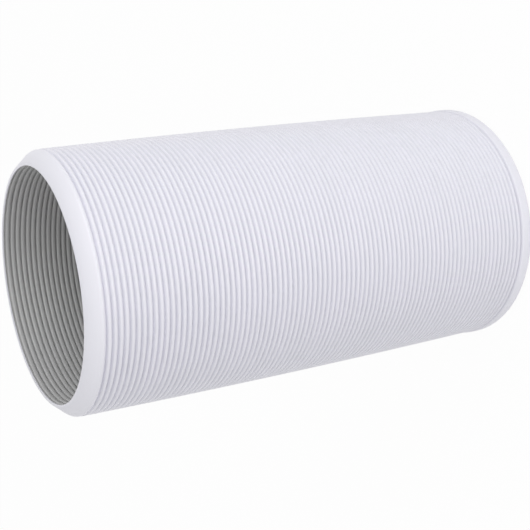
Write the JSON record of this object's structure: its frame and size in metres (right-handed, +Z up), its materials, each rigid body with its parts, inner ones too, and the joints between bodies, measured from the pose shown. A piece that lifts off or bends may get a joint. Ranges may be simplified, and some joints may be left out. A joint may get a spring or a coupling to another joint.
{
  "type": "air conditioner exhaust hose",
  "caption": "Round accordion-fold hose that carries warm exhaust air from a portable air conditioner, pushed together to its shortest, with a smooth rounded lip at each open end.",
  "frame": {"origin": "on the floor, in the middle of the mouth that the hose stands on", "axes": "+Z up along the hose's axis, from the mouth on the floor to the other one; +X and +Y are any two directions across it"},
  "size_m": [0.15, 0.15, 0.2889],
  "materials": {
    "hose_wall": "blow-moulded polypropylene, white, soft satin"
  },
  "bodies": {
    "root": {"hose": "hose_wall"}
  },
  "joints": []
}
